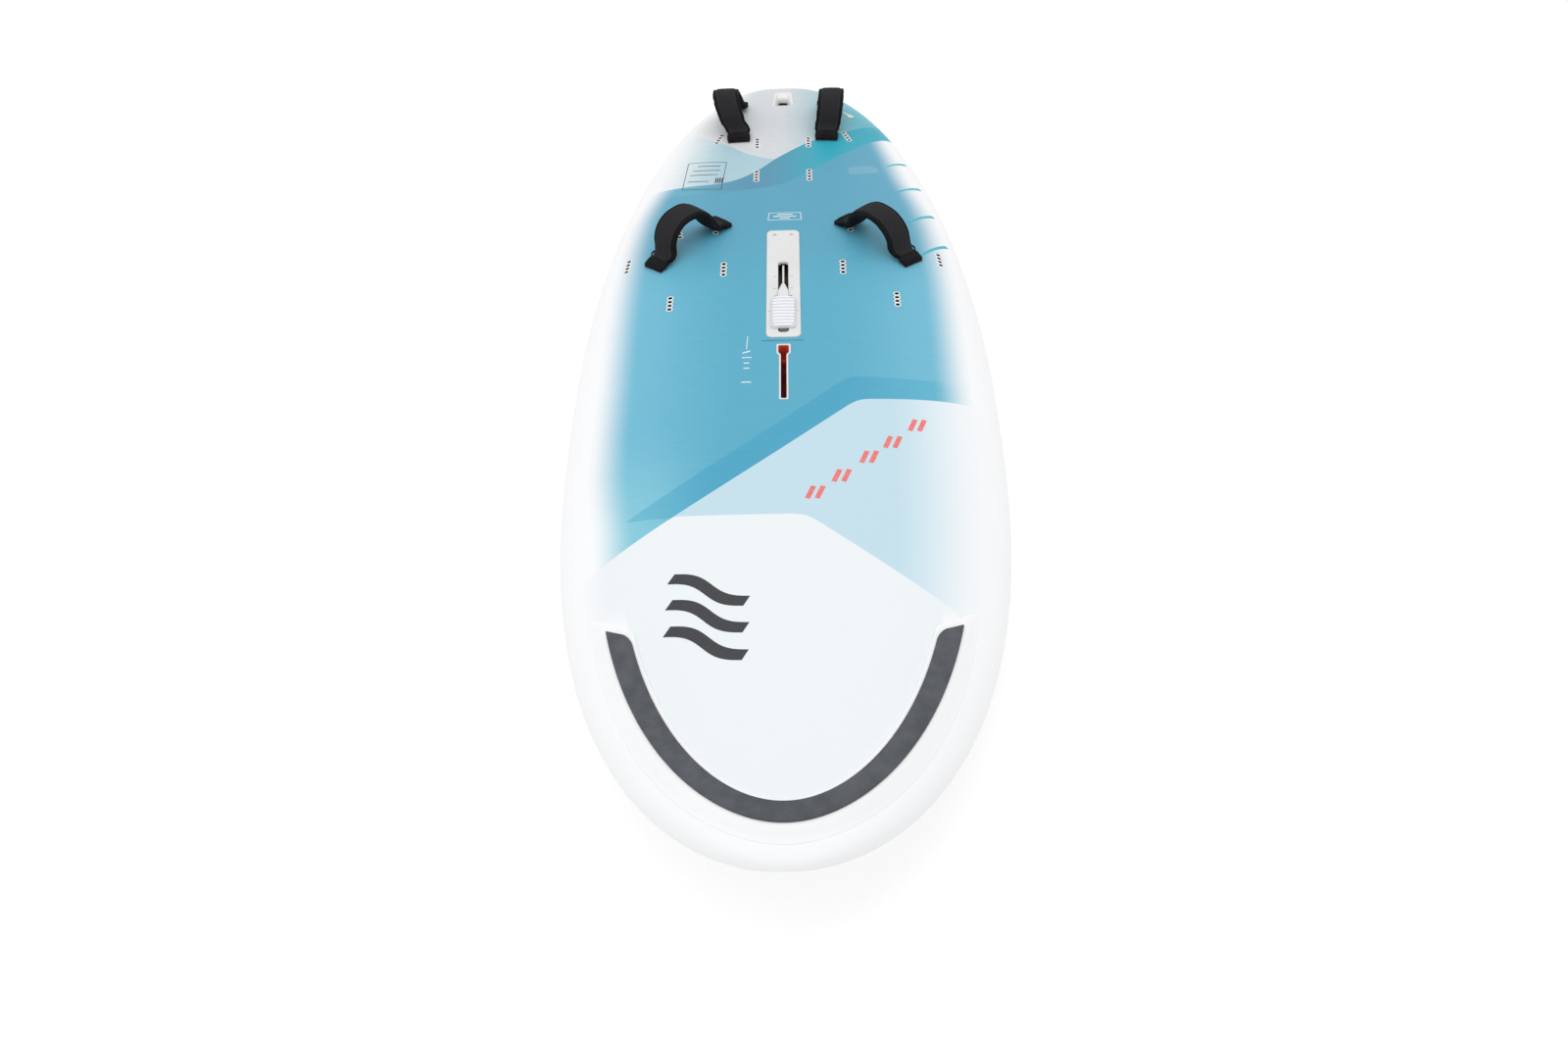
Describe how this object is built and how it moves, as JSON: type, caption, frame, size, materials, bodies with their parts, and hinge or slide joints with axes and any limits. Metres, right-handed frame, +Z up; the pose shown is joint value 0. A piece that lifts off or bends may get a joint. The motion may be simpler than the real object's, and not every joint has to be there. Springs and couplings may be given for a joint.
{
  "type": "windsurf board",
  "caption": "Wide beginner windsurf board with a domed deck, four padded footstraps, a mast track, a retracting daggerboard worked by a sliding foot pedal, and a padded nose.",
  "frame": {"origin": "middle of the board's bounding box, at the flat of the bottom", "axes": "-Y to the nose, +Y to the tail, +X to the side the node names call port, +Z up out of the deck"},
  "size_m": [0.86, 2.52, 0.204],
  "materials": {
    "deck_paint": "satin paint with a fine anti-slip grain, blue fading to white at the rails",
    "hull_white": "smooth white gel coat",
    "foam": "expanded polystyrene foam",
    "eva_foam": "charcoal grained EVA foam",
    "track_red": "moulded red plastic",
    "white_plastic": "moulded white plastic",
    "blade_white": "smooth moulded white plastic",
    "plug_white": "moulded white plastic",
    "steel": "stainless steel",
    "seal_rubber": "matte rubber lip",
    "webbing": "woven nylon webbing",
    "strap_neoprene": "padded neoprene with stitched edges"
  },
  "bodies": {
    "board": {"deck_skin": "deck_paint", "bottom_skin": "hull_white", "core_port": "foam", "core_starboard": "foam", "core_nose": "foam", "core_tail": "foam", "nose_pad": "eva_foam", "mast_track_box": "track_red", "mast_track_top": "track_red", "mast_track_rim": "white_plastic", "daggerboard_case": "white_plastic", "daggerboard_cover": "white_plastic", "pivot_pin": "steel", "cover_screw_port": "steel", "cover_screw_starboard": "steel", "slot_seal_port": "seal_rubber", "slot_seal_starboard": "seal_rubber", "fin_box": "white_plastic", "fin_bolt_cup": "white_plastic", "fin_bolt": "steel", "plug_front_inboard_fore_port": "plug_white", "plug_front_inboard_fore_starboard": "plug_white", "plug_front_inboard_aft_port": "plug_white", "plug_front_inboard_aft_starboard": "plug_white", "plug_front_middle_fore_port": "plug_white", "plug_front_middle_fore_starboard": "plug_white", "plug_front_middle_aft_port": "plug_white", "plug_front_middle_aft_starboard": "plug_white", "plug_front_outboard_fore_port": "plug_white", "plug_front_outboard_fore_starboard": "plug_white", "plug_front_outboard_aft_port": "plug_white", "plug_front_outboard_aft_starboard": "plug_white", "plug_rear_centre_fore_port": "plug_white", "plug_rear_centre_fore_starboard": "plug_white", "plug_rear_centre_aft_port": "plug_white", "plug_rear_centre_aft_starboard": "plug_white", "plug_rear_outboard_fore_port": "plug_white", "plug_rear_outboard_fore_starboard": "plug_white", "plug_rear_middle_fore_port": "plug_white", "plug_rear_middle_fore_starboard": "plug_white", "plug_rear_middle_aft_port": "plug_white", "plug_rear_middle_aft_starboard": "plug_white", "front_strap_port_cover": "strap_neoprene", "front_strap_port_webbing": "webbing", "front_strap_screw_fore_port": "steel", "front_strap_screw_aft_port": "steel", "front_strap_starboard_cover": "strap_neoprene", "front_strap_starboard_webbing": "webbing", "front_strap_screw_fore_starboard": "steel", "front_strap_screw_aft_starboard": "steel", "rear_strap_port_cover": "strap_neoprene", "rear_strap_port_webbing": "webbing", "rear_strap_screw_fore_port": "steel", "rear_strap_screw_aft_port": "steel", "rear_strap_starboard_cover": "strap_neoprene", "rear_strap_starboard_webbing": "webbing", "rear_strap_screw_fore_starboard": "steel", "rear_strap_screw_aft_starboard": "steel"},
    "blade": {"daggerboard_blade": "blade_white"},
    "pedal": {"daggerboard_pedal": "white_plastic"}
  },
  "joints": [
    {"name": "blade_swing", "type": "hinge", "parent": "board", "child": "blade", "pos_m": [0, 0.159, 0.046], "axis": [-1, 0, 0], "range_deg": [0, 85]},
    {"name": "pedal_slide", "type": "slide", "parent": "board", "child": "pedal", "axis": [0, 1, 0], "range_m": [0, 0.0786]}
  ],
  "couplings": [
    {"joint": "pedal_slide", "follows": "blade_swing", "m_per_rad": 0.052826}
  ]
}
